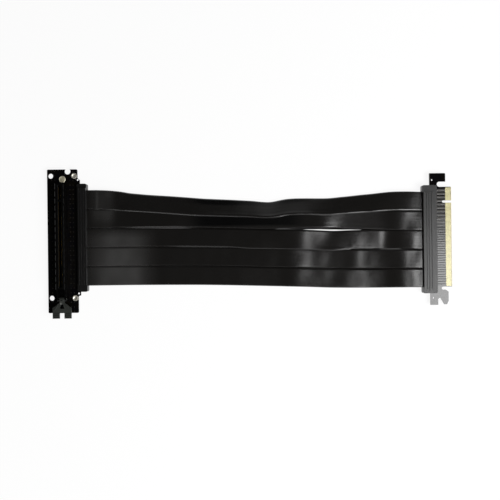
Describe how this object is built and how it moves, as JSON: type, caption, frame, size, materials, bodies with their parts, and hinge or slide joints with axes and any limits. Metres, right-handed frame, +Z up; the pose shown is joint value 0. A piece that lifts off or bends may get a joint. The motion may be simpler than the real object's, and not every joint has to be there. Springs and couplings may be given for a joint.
{
  "type": "gpu riser cable",
  "caption": "Flat black riser cable: a keyed card slot with a hinged latch on one board and a gold card edge on the other, joined by sleeved ribbons under ribbed covers.",
  "frame": {"origin": "on the table, below the middle of the two connectors' joint box, ribbons left out", "axes": "+X from the slot's board along the ribbons to the gold edge, +Y along the slot away from its latch, +Z up"},
  "size_m": [0.3448, 0.1266, 0.0162],
  "materials": {
    "board": "satin solder mask",
    "slot_plastic": "moulded, fine grain",
    "latch_plastic": "moulded, fine grain",
    "cover_plastic": "moulded, satin",
    "sleeve": "smooth film",
    "wire": "tinned",
    "rivet": "dull plated"
  },
  "bodies": {
    "cable": {"socket_board": "board", "board_rivet": "rivet", "slot_housing": "slot_plastic", "socket_cover_upper": "cover_plastic", "socket_cover_lower": "cover_plastic", "plug_board": "board", "plug_cover_upper": "cover_plastic", "plug_cover_lower": "cover_plastic", "socket_wires_1": "wire", "socket_wires_2": "wire", "socket_wires_3": "wire", "socket_wires_4": "wire", "socket_wires_5": "wire", "plug_wires_1": "wire", "plug_wires_2": "wire", "plug_wires_3": "wire", "plug_wires_4": "wire", "plug_wires_5": "wire", "ribbon_1": "sleeve", "ribbon_2": "sleeve", "ribbon_3": "sleeve", "ribbon_4": "sleeve", "ribbon_5": "sleeve"},
    "latch": {"slot_latch": "latch_plastic"}
  },
  "joints": [
    {"name": "latch_hinge", "type": "hinge", "parent": "cable", "child": "latch", "pos_m": [-0.15935, -0.04715, 0.0095], "axis": [-1, 0, 0], "range_deg": [0, 38]}
  ]
}
